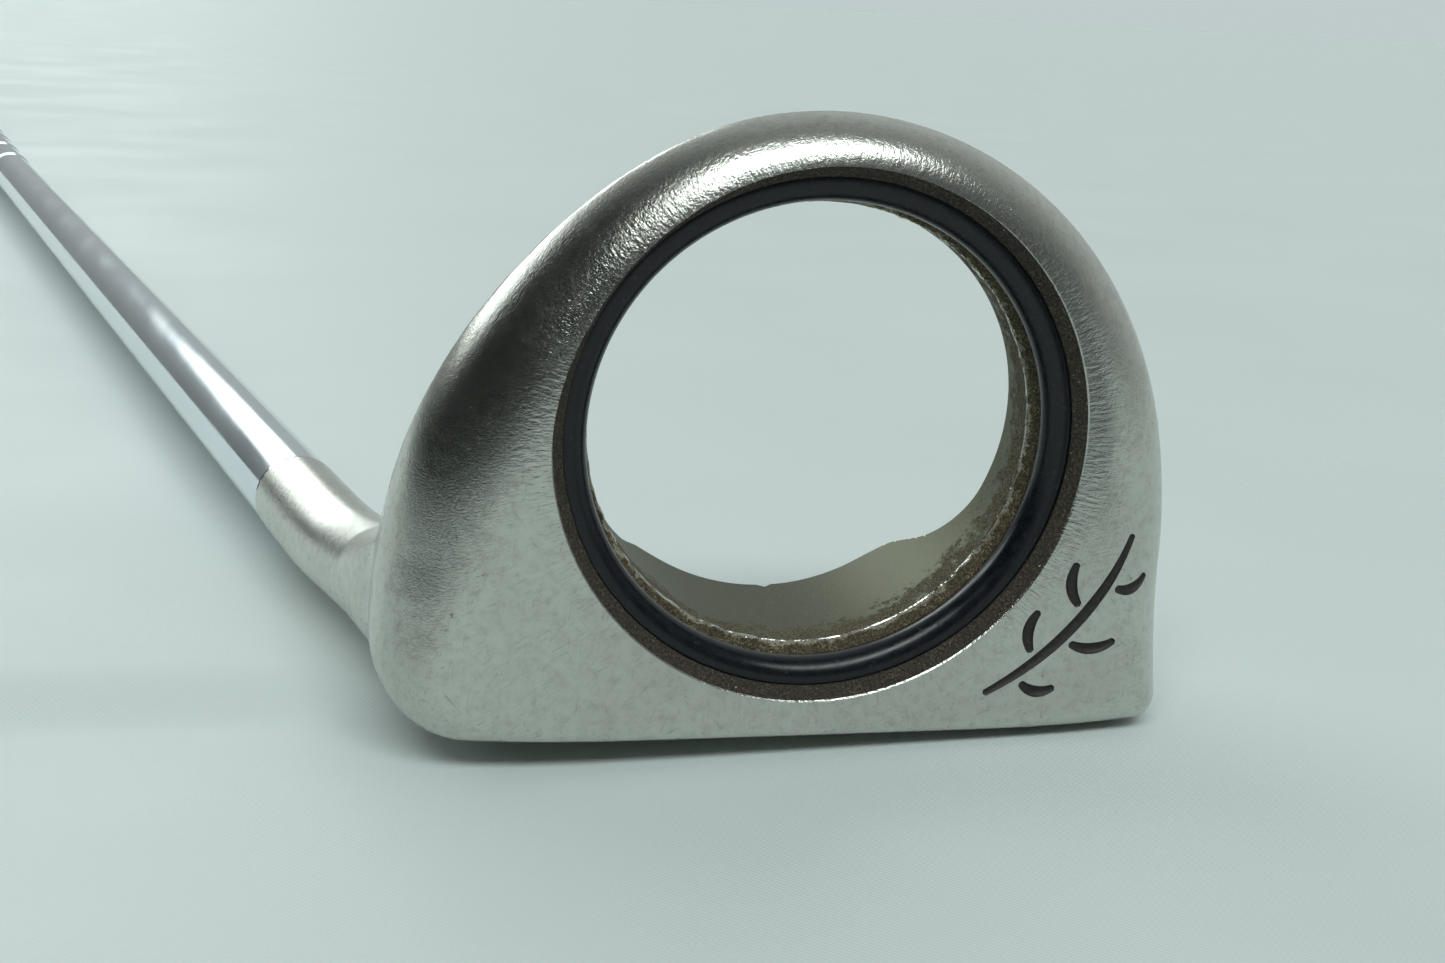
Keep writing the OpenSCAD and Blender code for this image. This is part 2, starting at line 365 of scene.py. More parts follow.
def cake(verts, outward):
    """Lays crumbly dirt on the ledge, the lip's crest and the rim."""
    height = verts[:, 2]
    lumps = np.maximum(grit(verts, 1.1, 3) + 0.25, 0)
    patches = 0.35 + 0.65 * ease(-0.2, 0.5, grit(verts, 9, 8))
    crest_top = 6.3 + 0.9 * np.maximum(grit(verts, 5, 15), 0)
    ledge = ease(4.0, 4.8, height) * (1 - ease(5.6, 6.1, height))
    crest = ease(5.4, 5.8, height) * (1 - ease(6.0, crest_top, height))
    rim = ease(0.5, 0.9, height) * (1 - ease(1.3, 1.5, height))
    inward = (LEDGE_DIRT * ledge + CREST_DIRT * crest + RIM_DIRT * rim) * lumps * patches
    verts[:, :2] -= outward * inward[:, None]
    verts[:, 2] -= LEDGE_SAG * ledge * lumps * patches


def bore_cutter():
    """The bore's cutting body, with dirt caked on the groove, the ledge and the lip."""
    profile = bore_profile()
    verts = lathe(profile, BORE_SEGMENTS)
    outward = verts[:, :2] / np.hypot(verts[:, 0], verts[:, 1])[:, None]
    keep_cover(verts, outward)
    cake(verts, outward)
    centre = len(verts)
    last = centre - BORE_SEGMENTS
    verts = np.vstack([verts, [0, 0, profile[0][1]], [0, 0, profile[-1][1]]])
    faces = [tuple(f) for f in tube_faces(len(profile), BORE_SEGMENTS)]
    for i in range(BORE_SEGMENTS):
        j = (i + 1) % BORE_SEGMENTS
        faces += [(j, i, centre), (last + i, last + j, centre + 1)]
    return mesh_piece("bore_cutter", row(verts), faces)


def sole_height(x, y):
    """Height of the head's underside, which is 0 on the flat of the sole and rises on its rolled edge."""
    r = sole_roll(x, y)
    drawn_in = np.clip(outline(x, y) + r, 0, r)
    return r - np.sqrt(r * r - drawn_in * drawn_in)


def stroke(path, radius, depth):
    """A rounded groove cutter along a path of points on the sole."""
    path = np.asarray(path, float)
    along = np.gradient(path, axis=0)
    along /= np.linalg.norm(along, axis=1)[:, None]
    rings = []
    for k, (at, way) in enumerate(zip(path, along)):
        side = np.array([-way[1], way[0]])
        taper = (0.62 + 0.38 * math.sin(math.pi * (k + 0.5) / len(path))) * radius
        for a in np.linspace(0, 2 * np.pi, STROKE_SIDES, endpoint=False):
            flat = at + side * taper * math.cos(a)
            rings.append((*flat, sole_height(*flat) + depth - radius + taper * math.sin(a)))
    verts = np.array(rings)
    faces = [tuple(f) for f in tube_faces(len(path), STROKE_SIDES)]
    last = (len(path) - 1) * STROKE_SIDES
    for start, way, flip in ((0, -along[0], False), (last, along[-1], True)):
        tip = len(verts)
        end = verts[start:start + STROKE_SIDES].mean(0) + np.append(way, 0) * radius * 0.55
        verts = np.vstack([verts, end])
        for i in range(STROKE_SIDES):
            j = (i + 1) % STROKE_SIDES
            faces.append((start + i, start + j, tip) if flip else (start + j, start + i, tip))
    return verts, faces


def bow(start, end, sag, count=14):
    """Points along a shallow arc from start to end that bows aside by sag."""
    start, end = np.array(start, float), np.array(end, float)
    t = np.linspace(0, 1, count)[:, None]
    way = end - start
    side = np.array([-way[1], way[0]]) / np.linalg.norm(way)
    return start + way * t + side * sag * 4 * t * (1 - t)


# The engraved sprig: its stem, and its leaves as (share along the stem, side, length)
STROKE_SIDES, STROKE_R, STROKE_DEPTH = 12, 0.62, 0.42
STEM_FROM, STEM_TO, STEM_BOW, STEM_POINTS = (16.6, 23.6), (29.6, 8.6), 1.9, 26
LEAVES = ((0.16, 1, 3.2), (0.3, -1, 3.8), (0.46, 1, 4.2), (0.62, -1, 4.0), (0.78, 1, 3.3))
LEAF_GAP, LEAF_BOW = 1.1, 0.6


def sprig_cutters():
    """A plain engraved sprig on the sole by the toe: one stem with leaves on both sides."""
    stem = bow(STEM_FROM, STEM_TO, STEM_BOW, STEM_POINTS)
    strokes = [stem]
    for share, side, length in LEAVES:
        k = int(share * (STEM_POINTS - 1))
        way = stem[k + 1] - stem[k]
        way /= np.linalg.norm(way)
        aside = np.array([-way[1], way[0]]) * side
        start = stem[k] + aside * LEAF_GAP
        strokes.append(bow(start, start + (way * 0.72 + aside * 0.7) * length, LEAF_BOW * side))
    return [stroke(path, STROKE_R, STROKE_DEPTH) for path in strokes]


NOTCH_X, NOTCH_HALF_W, NOTCH_DEPTH = 0.4, 1.5, 0.7


def sight_notch():
    """The V-shaped sighting mark across the top of the face block."""
    left, right = NOTCH_X - NOTCH_HALF_W, NOTCH_X + NOTCH_HALF_W
    above, below = BLOCK_H + NOTCH_DEPTH, BLOCK_H - NOTCH_DEPTH
    verts, faces = [], [(0, 1, 2), (5, 4, 3)]
    for y in (10, FACE_Y + 1.5):
        verts += [(left, y, above), (NOTCH_X, y, below), (right, y, above)]
    for i in range(3):
        j = (i + 1) % 3
        faces.append((i, i + 3, j + 3, j))
    return np.array(verts), faces


def cut(piece, cutter):
    """Takes the cutter's body out of the piece."""
    hole = piece.modifiers.new("cut", "BOOLEAN")
    hole.operation, hole.solver, hole.object = "DIFFERENCE", "EXACT", cutter
    graph = bpy.context.evaluated_depsgraph_get()
    mesh = bpy.data.meshes.new_from_object(piece.evaluated_get(graph))
    piece.modifiers.clear()
    piece.data = mesh
    bpy.data.objects.remove(cutter)


def facing_out(piece):
    """Turns every face of a closed piece outwards."""
    work = bmesh.new()
    work.from_mesh(piece.data)
    bmesh.ops.recalc_face_normals(work, faces=work.faces)
    work.to_mesh(piece.data)
    work.free()
    return piece


STEEL, BORE, GRIME, INLAY = range(4)


def paint_head(mesh):
    """Gives each face of the head its material, by where the face lies."""
    at = golf(vectors_of(mesh.polygons, "center"))
    radius = np.hypot(at[:, 0], at[:, 1])
    height = at[:, 2]
    depth = -head_field(at)
    inner = (radius < RIM_R + 0.6) & (depth > 0.03)
    which = np.full(len(at), STEEL)
    which[inner & (radius > BORE_R - 1) & (height > LIP_Z)] = BORE
    which[inner & (height > 0.14) & (height <= LIP_Z - 0.1) & (radius > BORE_R + 0.02)] = GRIME
    by_toe = (at[:, 0] > 12) & (at[:, 1] > 4)
    engraved = by_toe & (radius > RIM_R + 0.5) & (radius < 36) & (height < 5) & (depth > 0.04)
    which[engraved] = INLAY
    mesh.polygons.foreach_set("material_index", which.astype(np.int32))


def vectors_of(items, name):
    """One three-part attribute of a mesh's vertices or faces, as rows."""
    values = np.zeros(len(items) * 3)
    items.foreach_get(name, values)
    return values.reshape(-1, 3)


def shade_from_field(mesh):
    """Smooth normals from the field on the head's outside, and by angle in what was cut into it."""
    mesh.polygons.foreach_set("use_smooth", [True] * len(mesh.polygons))
    mesh.set_sharp_from_angle(angle=math.radians(38))
    corner = np.zeros(len(mesh.loops), np.int32)
    mesh.loops.foreach_get("vertex_index", corner)
    at = golf(vectors_of(mesh.vertices, "co"))
    outside = np.abs(head_field(at)) < 0.02
    normal = np.zeros_like(at)
    slope = gradient(head_field, at[outside])
    normal[outside] = turn_to_row(slope / np.linalg.norm(slope, axis=1)[:, None])
    total = np.zeros(len(mesh.polygons), np.int32)
    mesh.polygons.foreach_get("loop_total", total)
    of_corner = np.repeat(vectors_of(mesh.polygons, "normal"), total, 0)
    wanted = normal[corner]
    agrees = (wanted * of_corner).sum(1) > 0.8
    wanted[~agrees] = 0
    mesh.normals_split_custom_set([tuple(n) for n in wanted])


def make_head():
    """The steel head: its outer skin, with the bore, the sprig and the notch cut in."""
    low, high, step = (-54, -30, -1), (37, 29.5, 54.5), 0.5
    verts, quads = surface_net(head_field, low, high, step)
    verts = relaxed(head_field, onto_surface(head_field, verts), quads)
    head = mesh_piece("head_shell", row(verts), quads)
    cut(head, facing_out(bore_cutter()))
    for i, (path_verts, faces) in enumerate(sprig_cutters()):
        cut(head, facing_out(mesh_piece(f"groove_{i}", row(path_verts), faces)))
    notch_verts, faces = sight_notch()
    cut(head, facing_out(mesh_piece("notch", row(notch_verts), faces)))
    head.data.name = "head_shell"
    return head


RING_SLACK, FLASH_HEIGHT, FLASH_WIDTH = 0.03, 0.03, 0.07


def make_ring():
    """The rubber ring: a round cord with the fine flash line that its mould leaves."""
    around, section = 540, 48
    a = np.linspace(0, 2 * np.pi, around, endpoint=False)[:, None]
    b = np.linspace(0, 2 * np.pi, section, endpoint=False)[None, :]
    flash = FLASH_HEIGHT * np.exp(-((np.abs(np.abs(b - np.pi) - np.pi) / FLASH_WIDTH) ** 2))
    wave = 0.035 * np.sin(3 * a + 1) + 0.02 * np.sin(7 * a)
    wire = (RING_WIRE_R - RING_SLACK + flash) * np.ones_like(a)
    r = RING_R - RING_SLACK + wire * np.cos(b)
    z = RING_Z + wave + wire * np.sin(b)
    verts = np.stack([r * np.cos(a), r * np.sin(a), z * np.ones_like(a)], -1).reshape(-1, 3)
    return facing_out(mesh_piece("rubber_ring", row(verts), tube_faces(around, section, closed=True)))


STEP_COUNT, STEP_PITCH, FIRST_STEP_S = 10, 25, MOUTH_S + 310
TIP_R, BUTT_R, SHAFT_WALL = 4.7, 7.365, 0.6
MOUTH_GAP, MOUTH_CHAMFER = 0.02, 0.15
SHAFT_SEGMENTS = 128


def make_shaft():
    """The stepped steel tube, with a soft shoulder at each step."""
    gain = (BUTT_R - TIP_R) / STEP_COUNT
    mouth = MOUTH_S + MOUTH_GAP
    outside = [(TIP_R - MOUTH_CHAMFER, mouth), (TIP_R, MOUTH_S + 0.17), (TIP_R, MOUTH_S + 0.6)]
    for i in range(STEP_COUNT):
        s = FIRST_STEP_S + i * STEP_PITCH
        for t in np.linspace(-0.5, 1.5, 11):
            outside.append((TIP_R + gain * (i + ease(0, 1, t)), s - 0.6 + 1.2 * t))
    outside += [(BUTT_R, END_S - 3.2), (BUTT_R - SHAFT_WALL, END_S - 3)]
    inside = [(BUTT_R - SHAFT_WALL, END_S - 3.1), (TIP_R - SHAFT_WALL, FIRST_STEP_S),
              (TIP_R - SHAFT_WALL, mouth)]
    profile = finely(outside, 12) + inside
    verts = on_shaft(lathe(profile, SHAFT_SEGMENTS))
    shaft = mesh_piece("chromed_tube", row(verts), tube_faces(len(profile), SHAFT_SEGMENTS, closed=True))
    facing_out(shaft).data.set_sharp_from_angle(angle=math.radians(30))
    return shaft


GRIP_LEN, GRIP_BUTT_D, GRIP_MOUTH_D, GRIP_FLAT_SHARE = 265, 26.0, 18.6, 0.88
RIB_PITCH, RIB_DEPTH, DOT_PITCH, DOT_DEPTH = 4.4, 0.42, 2.2, 0.18
SEAM_DEPTH, LIP_DEPTH = 0.5, 0.45
CAP_HEIGHT, VENT_R = 4.4, 1.5
GRIP_SEGMENTS, GRIP_SPACING = 160, 0.55


def grip_r(t):
    """Radius of the grip's round back at a share of its length from the mouth."""
    return (GRIP_MOUTH_D + (GRIP_BUTT_D - GRIP_MOUTH_D) * t ** 1.4) / 2 + 0.9 * np.sin(np.pi * t) * t


def grip_outside(s, angle):
    """Radius of the grip at each distance from its mouth and each angle from the middle of its flat."""
    t = s / GRIP_LEN
    radius = grip_r(t)[:, None] * np.ones_like(angle)
    flat = GRIP_FLAT_SHARE * (GRIP_MOUTH_D / 2 + (GRIP_BUTT_D - GRIP_MOUTH_D) / 2 * t)[:, None]
    across = np.where(np.cos(angle) > 0, flat / np.maximum(np.cos(angle), 1e-3), 99)
    radius = round_min(radius, across, 1.6) - 0.02
    body = (ease(9, 14, s) * (1 - ease(GRIP_LEN - 26, GRIP_LEN - 20, s)))[:, None]
    on_back = ease(0.9, 1.4, np.abs(angle))[None, :]
    panel = ease(0.05, 0.1, np.abs(np.abs(angle) - 2.25)[None, :])
    rib = 0.5 + 0.5 * np.cos(2 * np.pi * s / RIB_PITCH)[:, None]
    radius -= body * on_back * panel * (RIB_DEPTH * ease(0.55, 0.95, rib))
    dots = np.cos(2 * np.pi * s / DOT_PITCH)[:, None] * np.cos(angle * 60)[None, :]
    front = (1 - ease(0.42, 0.5, np.abs(angle)))[None, :]
    radius -= body * front * DOT_DEPTH * ease(0.25, 0.6, dots)
    seam = ease(GRIP_LEN - 17.2, GRIP_LEN - 17, s) * (1 - ease(GRIP_LEN - 16.4, GRIP_LEN - 16.2, s))
    radius -= SEAM_DEPTH * seam[:, None]
    lip = 1 - ease(0, 1.6, s)
    return radius - LIP_DEPTH * (lip ** 2)[:, None]


def level_ring(r, angle, at):
    """A ring of points of one radius at one distance along the shaft."""
    return np.stack([r * np.cos(angle), r * np.sin(angle), np.full(len(angle), at)], -1)


def moved_ring(ring, share, lift):
    """A copy of a ring, drawn in to a share of its radius and moved along the shaft."""
    return np.concatenate([ring[:, :2] * share, ring[:, 2:] + lift], 1)


def grip_cap(last, angle):
    """Rings from the grip's last one over the rounded end and down its dished cap to the vent."""
    cap = []
    for share in np.linspace(0.12, 1, 12):
        drop = math.sqrt(max(1 - (1 - share) ** 2, 0))
        keep = 1 - 0.24 * (1 - math.cos(share * math.pi / 2))
        cap.append(moved_ring(last, keep, CAP_HEIGHT * drop * 0.9 if share < 1 else 4.1))
    for share, lift in ((0.62, 4.25), (0.6, 4.0), (0.5, 4.0), (0.48, 4.25), (0.25, 4.3)):
        cap.append(moved_ring(last, share, lift - 0.15))
    for r, lift in ((VENT_R + 0.1, 4.15), (VENT_R, 4.05), (VENT_R, 1.2)):
        cap.append(level_ring(r, angle, last[0, 2] + lift))
    return cap


def make_grip():
    """The rubber grip: flat in front for the thumbs, ribbed round its back, with a rounded cap."""
    start = END_S - GRIP_LEN
    s = np.arange(0, GRIP_LEN - 4, GRIP_SPACING)
    angle = np.linspace(-np.pi, np.pi, GRIP_SEGMENTS, endpoint=False)
    radius = grip_outside(s, angle)
    rings = np.stack([radius * np.cos(angle), radius * np.sin(angle),
                      (start + s)[:, None] * np.ones_like(angle)], -1)
    last = rings[-1]
    inner_r, mouth_r = BUTT_R + 0.27, BUTT_R + 0.02
    inside = [level_ring(r, angle, at) for r, at in (
        (inner_r, last[0, 2] + 1.0), (inner_r, start + 6), (mouth_r, start + 5.9), (mouth_r, start))]
    rings = np.concatenate([rings, np.array(grip_cap(last, angle) + inside)])
    verts = on_shaft(rings.reshape(-1, 3))
    grip = mesh_piece("rubber_grip", row(verts), tube_faces(len(rings), GRIP_SEGMENTS, closed=True))
    facing_out(grip).data.set_sharp_from_angle(angle=math.radians(50))
    return grip


# ---- Materials ----

class Nodes:
    """A node tree, with short calls to add to it."""

    def __init__(self, tree):
        self.tree = tree

    def add(self, kind, inputs=None, **settings):
        node = self.tree.nodes.new(kind)
        for key, value in settings.items():
            setattr(node, key, value)
        for key, value in (inputs or {}).items():
            self.feed(node.inputs[key], value)
        return node

    def feed(self, socket, value):
        if isinstance(value, bpy.types.NodeSocket):
            self.tree.links.new(value, socket)
        else:
            socket.default_value = value

    def math(self, operation, a, b=0.0, c=0.0):
        return self.add("ShaderNodeMath", {0: a, 1: b, 2: c}, operation=operation).outputs[0]

    def band(self, value, low, high, to_low=0.0, to_high=1.0):
        """Smooth step from to_low to to_high while the value goes from low to high."""
        node = self.add("ShaderNodeMapRange", {
            "Value": value, "From Min": low, "From Max": high, "To Min": to_low, "To Max": to_high},
            interpolation_type="SMOOTHSTEP")
        return node.outputs["Result"]


class Paint(Nodes):
    """One material. Places are in metres in the frame."""

    def __init__(self, name):
        self.material = bpy.data.materials.new(name)
        self.material.use_nodes = True
        super().__init__(self.material.node_tree)
        self.shader = self.tree.nodes["Principled BSDF"]
        self.place = self.add("ShaderNodeTexCoord").outputs["Object"]

    def set(self, **values):
        for key, value in values.items():
            self.feed(self.shader.inputs[key.replace("_", " ")], value)

    def noise(self, size, detail=3, rough=0.55, stretch=(1, 1, 1), turn=(0, 0, 0), place=None):
        """Noise whose features are about size millimetres across, longer along the axes stretched."""
        scale = [1 / (size * MM * s) for s in stretch]
        turned = self.add("ShaderNodeVectorRotate", {
            "Vector": place or self.place, "Rotation": [math.radians(a) for a in turn]},
            rotation_type="EULER_XYZ")
        scaled = self.add("ShaderNodeVectorMath", {0: turned.outputs[0], 1: scale}, operation="MULTIPLY")
        node = self.add("ShaderNodeTexNoise", {
            "Vector": scaled.outputs[0], "Scale": 1.0, "Detail": detail, "Roughness": rough})
        return node.outputs["Fac"]

    def mix(self, share, a, b):
        node = self.add("ShaderNodeMix", data_type="RGBA")
        self.feed(node.inputs["Factor"], share)
        self.feed(node.inputs["A"], a)
        self.feed(node.inputs["B"], b)
        return node.outputs["Result"]

    def bump(self, height, depth, below=None):
        """Raises the surface by height times depth, in millimetres."""
        node = self.add("ShaderNodeBump", {"Height": height, "Distance": depth * MM, "Strength": 1.0})
        if below:
            self.feed(node.inputs["Normal"], below)
        return node.outputs["Normal"]

    def bore_polar(self):
        """Radius from the bore's axis in metres, and a place that runs round and out from it."""
        parts = self.add("ShaderNodeSeparateXYZ", {0: self.place})
        sideways = parts.outputs["X"]
        across = self.math("SUBTRACT", parts.outputs["Z"], FACE_Y * MM)
        angle = self.math("ARCTAN2", across, sideways)
        squares = self.math("ADD", self.math("MULTIPLY", across, across),
                            self.math("MULTIPLY", sideways, sideways))
        radius = self.math("SQRT", squares)
        round_way = self.math("MULTIPLY", angle, RIM_R * MM)
        place = self.add("ShaderNodeCombineXYZ", {0: round_way, 1: radius, 2: parts.outputs["Y"]})
        return radius, place.outputs[0]

    def from_sole(self):
        """Height above the sole, in metres."""
        parts = self.add("ShaderNodeSeparateXYZ", {0: self.place})
        return self.math("SUBTRACT", parts.outputs["Y"], SOLE_AT)


def grey(level, warmth=0.0):
    return (level * (1 + warmth), level, level * (1 - warmth), 1)


# Fine scratches on the steel, as (direction in degrees, spacing, depth)
SCRATCHES = ((12, 0.16, 0.012), (64, 0.2, 0.012), (-38, 0.13, 0.009), (92, 0.24, 0.012))


def steel_scratches(paint, normal=None):
    """Fine rubbed scratches running in several directions over worn steel."""
    for turn, size, depth in SCRATCHES:
        lines = paint.noise(size, detail=2, stretch=(14, 1, 1), turn=(0, turn, 0))
        normal = paint.bump(lines, depth, normal)
    return normal


def worn_steel():
    paint = Paint("worn_cast_steel")
    radius, polar = paint.bore_polar()
    patches = paint.noise(9, detail=4)
    mottle = paint.noise(1.1, detail=5, rough=0.65)
    clean = paint.mix(paint.band(patches, 0.35, 0.7), (0.60, 0.61, 0.56, 1), (0.55, 0.555, 0.505, 1))
    colour = paint.mix(paint.band(mottle, 0.42, 0.68, 0, 0.45), clean, (0.42, 0.42, 0.385, 1))
    strokes = paint.noise(0.35, detail=4, rough=0.65, stretch=(1, 4, 1), place=polar)
    colour = paint.mix(paint.band(strokes, 0.52, 0.72, 0, 0.35), colour, (0.33, 0.335, 0.31, 1))
    for turn, start in ((28, 0.66), (-52, 0.68), (83, 0.67)):
        hair = paint.noise(0.11, detail=1, stretch=(26, 1, 1), turn=(0, turn, 0))
        colour = paint.mix(paint.band(hair, start, start + 0.05, 0, 0.45), colour, (0.27, 0.27, 0.25, 1))
    pit_noise = paint.noise(0.55, detail=2, rough=0.5)
    pit_field = paint.band(paint.noise(7, detail=2), 0.50, 0.66)
    pits = paint.math("MULTIPLY", paint.band(pit_noise, 0.69, 0.76), pit_field)
    colour = paint.mix(paint.math("MULTIPLY", pits, 0.75), colour, grey(0.12, 0.05))
    rough = paint.math("ADD", paint.band(mottle, 0.3, 0.75, 0.225, 0.275),
                       paint.band(patches, 0.3, 0.7, -0.01, 0.02))
    normal = steel_scratches(paint)
    rubbed = paint.noise(0.3, detail=3, stretch=(1, 5, 1), place=polar)
    by_rim = paint.band(radius, (RIM_R + 0.2) * MM, (RIM_R + 4.5) * MM, 1.0, 0.0)
    normal = paint.bump(paint.math("MULTIPLY", rubbed, by_rim), 0.06, normal)
    smears = paint.noise(1.5, detail=4, stretch=(2.2, 1, 1), turn=(0, 35, 0))
    normal = paint.bump(smears, 0.005, normal)
    normal = paint.bump(paint.math("MULTIPLY", pits, -1.0), 0.008, normal)
    paint.set(Base_Color=colour, Metallic=1.0, Roughness=rough, Normal=normal)
    return paint.material


def bore_steel():
    paint = Paint("bore_wall_steel")
    _, polar = paint.bore_polar()
    from_sole = paint.from_sole()
    speckle = paint.noise(0.22, detail=3)
    # The wall's steel is coloured far darker than the head's outer steel: partly dull dirty steel, partly
    # painted shade for the inside of the bore.
    base = paint.mix(paint.band(speckle, 0.4, 0.72), (0.115, 0.118, 0.082, 1), (0.195, 0.20, 0.145, 1))
    clump = paint.noise(1.9, detail=6, rough=0.78, place=polar)
    near_lip = paint.band(from_sole, (LIP_Z + 0.2) * MM, (LIP_Z + 8.5) * MM, 0.13, -0.24)
    dirt = paint.band(paint.math("ADD", clump, near_lip), 0.50, 0.63)
    grain = paint.band(paint.noise(0.18, detail=2), 0.35, 0.7)
    soil = paint.mix(grain, (0.035, 0.029, 0.016, 1), (0.235, 0.19, 0.11, 1))
    colour = paint.mix(dirt, base, soil)
    rough = paint.math("ADD", paint.band(speckle, 0.3, 0.7, 0.46, 0.6), paint.math("MULTIPLY", dirt, 0.4))
    normal = paint.bump(speckle, 0.012)
    normal = paint.bump(paint.noise(0.3, detail=2, stretch=(20, 1, 1), place=polar), 0.006, normal)
    normal = paint.bump(paint.math("MULTIPLY", dirt, grain), 0.12, normal)
    paint.set(Base_Color=colour, Metallic=paint.math("SUBTRACT", 1.0, dirt), Roughness=rough, Normal=normal)
    return paint.material


def caked_grime():
    paint = Paint("caked_grime")
    radius, polar = paint.bore_polar()
    from_sole = paint.from_sole()
    coarse = paint.noise(1.6, detail=5, rough=0.7, place=polar)
    grain = paint.noise(0.2, detail=3, rough=0.7)
    # Lighter towards the lip's slope and along the dirt's ragged top at the lip, darker out in the groove by
    # the ring.
    inner = paint.band(radius, (RIM_R - 2.2) * MM, (RIM_R - 1.2) * MM, 1.0, 0.0)
    soil = paint.mix(paint.band(grain, 0.35, 0.7), (0.016, 0.013, 0.010, 1), (0.075, 0.060, 0.040, 1))
    inward_tone = paint.mix(paint.band(grain, 0.35, 0.7), (0.030, 0.025, 0.014, 1), (0.150, 0.120, 0.066, 1))
    crumbs = paint.math("MULTIPLY", paint.band(grain, 0.52, 0.62), paint.band(coarse, 0.45, 0.6))
    crumbs = paint.math("MULTIPLY", crumbs, paint.band(inner, 0, 1, 0.25, 1.0))
    colour = paint.mix(crumbs, paint.mix(inner, soil, inward_tone), (0.27, 0.225, 0.135, 1))
    ragged = paint.math("ADD", from_sole, paint.math("MULTIPLY", coarse, 1.6 * MM))
    crest = paint.math("MULTIPLY", paint.band(ragged, 6.3 * MM, 6.5 * MM),
                       paint.band(grain, 0.35, 0.6, 0.2, 1.0))
    colour = paint.mix(crest, colour, (0.36, 0.34, 0.26, 1))
    sparkle = paint.band(paint.noise(0.3, detail=1), 0.76, 0.79)
    colour = paint.mix(sparkle, colour, grey(0.42))
    paint.set(Base_Color=colour, Roughness=paint.band(sparkle, 0, 1, 0.85, 0.35), Metallic=sparkle,
              Normal=paint.bump(grain, 0.14))
    return paint.material


def engraved_dark():
    paint = Paint("engraved_dark")
    grain = paint.noise(0.3, detail=3, rough=0.65)
    stain = paint.mix(paint.band(grain, 0.3, 0.7), (0.008, 0.007, 0.006, 1), (0.034, 0.028, 0.021, 1))
    paint.set(Base_Color=stain, Roughness=paint.band(grain, 0.3, 0.7, 0.45, 0.7),
              Normal=paint.bump(grain, 0.05))
    return paint.material


def ring_rubber():
    paint = Paint("ring_rubber")
    scuffs = paint.noise(0.5, detail=4, stretch=(3, 1, 3))
    dust = paint.band(paint.noise(0.9, detail=5, rough=0.75), 0.58, 0.72)
    colour = paint.mix(paint.math("MULTIPLY", dust, 0.10), (0.004, 0.006, 0.009, 1), grey(0.22, 0.02))
    rough = paint.math("ADD", paint.band(scuffs, 0.3, 0.7, 0.22, 0.34), paint.math("MULTIPLY", dust, 0.25))
    paint.set(Base_Color=colour, Roughness=rough, Normal=paint.bump(scuffs, 0.006), IOR=1.42)
    return paint.material


def chrome():
    paint = Paint("shaft_chrome")
    haze = paint.noise(5, detail=4, stretch=(1, 6, 1))
    wipes = paint.noise(0.5, detail=3, stretch=(1, 30, 1))
    # Bluish base colour: partly the chrome's own cast, partly a painted reflection of the blue-grey room
    # around it.
    tint = paint.mix(haze, (0.62, 0.68, 0.74, 1), (0.72, 0.77, 0.81, 1))
    specks = paint.band(paint.noise(0.35, detail=2), 0.73, 0.77)
    colour = paint.mix(paint.math("MULTIPLY", specks, 0.6), tint, grey(0.2, 0.03))
    rough = paint.math("ADD", paint.band(haze, 0.3, 0.7, 0.07, 0.13), paint.math("MULTIPLY", specks, 0.3))
    paint.set(Base_Color=colour, Metallic=1.0, Roughness=rough, Normal=paint.bump(wipes, 0.002))
    return paint.material


def grip_rubber():
    paint = Paint("grip_rubber")
    grain = paint.noise(0.35, detail=4, rough=0.7)
    wear = paint.noise(18, detail=5, rough=0.6)
    colour = paint.mix(paint.band(wear, 0.35, 0.7), (0.012, 0.012, 0.013, 1), (0.032, 0.032, 0.033, 1))
    colour = paint.mix(paint.band(grain, 0.6, 0.8, 0, 0.25), colour, grey(0.09))
    rough = paint.math("ADD", paint.band(grain, 0.3, 0.7, 0.55, 0.75),
                       paint.band(wear, 0.4, 0.7, -0.08, 0.05))
    paint.set(Base_Color=colour, Roughness=rough, Normal=paint.bump(grain, 0.03))
    return paint.material


def epoxy():
    paint = Paint("cured_epoxy")
    cloud = paint.noise(1.2, detail=4)
    colour = paint.mix(cloud, (0.20, 0.19, 0.13, 1), (0.30, 0.28, 0.20, 1))
    paint.set(Base_Color=colour, Roughness=paint.band(cloud, 0.3, 0.7, 0.25, 0.4),
              Normal=paint.bump(cloud, 0.05))
    return paint.material


def paper_tape():
    paint = Paint("grip_tape")
    fibre = paint.noise(0.25, detail=4, stretch=(1, 5, 1))
    colour = paint.mix(fibre, (0.52, 0.42, 0.24, 1), (0.66, 0.56, 0.36, 1))
    paint.set(Base_Color=colour, Roughness=paint.band(fibre, 0.3, 0.7, 0.7, 0.9),
              Normal=paint.bump(fibre, 0.04))
    return paint.material


def pale_cloth():
    """The floor: pale cloth with a faint fine weave and soft unevenness."""
    paint = Paint("pale_cloth")
    parts = paint.add("ShaderNodeSeparateXYZ", {0: paint.place})
    warp = paint.math("SINE", paint.math("MULTIPLY", parts.outputs["X"], math.tau / (0.55 * MM)))
    weft = paint.math("SINE", paint.math("MULTIPLY", parts.outputs["Y"], math.tau / (0.55 * MM)))
    weave = paint.math("MULTIPLY", warp, weft)
    thread = paint.noise(0.5, detail=2)
    cloud = paint.noise(60, detail=3)
    colour = paint.mix(cloud, (0.655, 0.72, 0.71, 1), (0.69, 0.755, 0.745, 1))
    normal = paint.bump(weave, 0.012)
    normal = paint.bump(thread, 0.02, normal)
    paint.set(Base_Color=colour, Roughness=paint.band(cloud, 0.3, 0.7, 0.45, 0.6), Normal=normal)
    return paint.material


# ---- Pieces on the frame ----

def dress(piece, node, slot, *materials):
    """Puts a finished piece in the place of a CAD node."""
    for material in materials:
        piece.data.materials.append(material)
    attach(piece, "root")
    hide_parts(node)
    return piece


